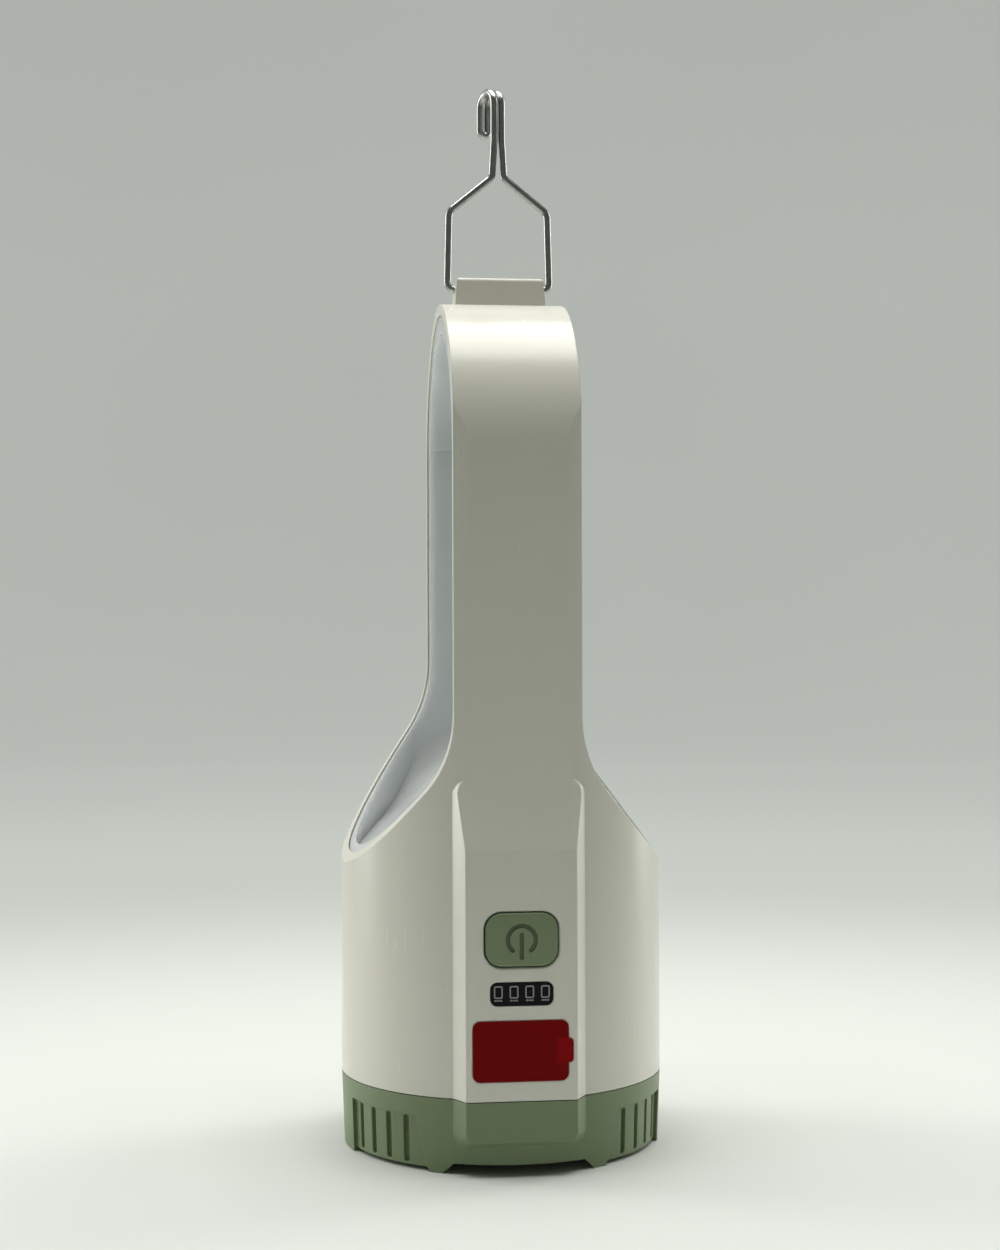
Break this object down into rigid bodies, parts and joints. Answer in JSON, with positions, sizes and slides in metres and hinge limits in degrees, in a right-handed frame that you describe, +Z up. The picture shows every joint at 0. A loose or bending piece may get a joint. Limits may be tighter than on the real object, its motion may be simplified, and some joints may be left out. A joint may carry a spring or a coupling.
{
  "type": "rechargeable camping lantern",
  "caption": "Upright camping lantern with a tall lit carrying arch, swinging wire hook on top, push button on the front and a downward searchlight in a ribbed base.",
  "frame": {"origin": "on the floor plane under the centre of the round body, where the base ring stands", "axes": "+Z up, -Y is the face with the button, +X is to the right of someone looking at that face"},
  "size_m": [0.086, 0.0879, 0.2847],
  "materials": {
    "shell": "off-white satin gloss moulded shell",
    "liner": "smooth milky grey light diffuser",
    "flex_strip": "flexible circuit strip",
    "led": "yellow phosphor on a white package",
    "hook_steel": "bright drawn steel wire",
    "sage": "sage green fine-textured moulding",
    "dark_plastic": "black moulding",
    "switch_metal": "tinned steel shell",
    "window": "smoked glossy window",
    "guide": "clear light guide",
    "badge": "deep red gloss badge",
    "board": "green circuit board",
    "screw": "zinc plated screw",
    "lens": "clear flat lens",
    "gasket": "black silicone ring",
    "reflector": "bright vacuum metallised bowl",
    "emitter_board": "white masked metal core board",
    "heat_plate": "stamped plate",
    "cell": null,
    "bracket": "black cell holder",
    "nickel": "spot welded nickel strip",
    "cover_rubber": "sage green rubber flap"
  },
  "bodies": {
    "housing": {"front_shell": "shell", "rear_shell": "shell", "handle_liner": "liner", "led_strip": "flex_strip", "strip_leds": "led", "tact_switch": "switch_metal", "indicator_window": "window", "light_guide": "guide", "battery_badge": "badge", "main_board": "board", "indicator_leds": "led", "board_screws": "screw", "base_ring": "sage", "lens": "lens", "lens_gasket": "gasket", "reflector": "reflector", "emitter_board": "emitter_board", "emitter": "led", "heat_plate": "heat_plate", "battery_cell_1": "cell", "battery_cell_2": "cell", "battery_cell_3": "cell", "battery_cell_4": "cell", "cell_bracket_left": "bracket", "cell_bracket_right": "bracket", "nickel_strips": "nickel", "charge_board": "board", "usb_socket": "switch_metal", "shell_screws": "screw", "knuckle_screw": "screw", "base_screws": "screw"},
    "hook": {"hook_wire": "hook_steel"},
    "button": {"power_button": "sage", "switch_plunger": "dark_plastic"},
    "cover": {"port_cover": "cover_rubber"}
  },
  "joints": [
    {"name": "hook_swing", "type": "hinge", "parent": "housing", "child": "hook", "pos_m": [0, 0, 0.2292], "axis": [1, 0, 0], "range_deg": [-100, 100]},
    {"name": "button_press", "type": "slide", "parent": "housing", "child": "button", "axis": [0, 1, 0], "range_m": [0, 0.0005], "stiffness_N_per_m": 3000},
    {"name": "port_cover_swing", "type": "hinge", "parent": "housing", "child": "cover", "pos_m": [0, 0.04145, 0.03905], "axis": [-1, 0, 0], "range_deg": [0, 90]}
  ]
}
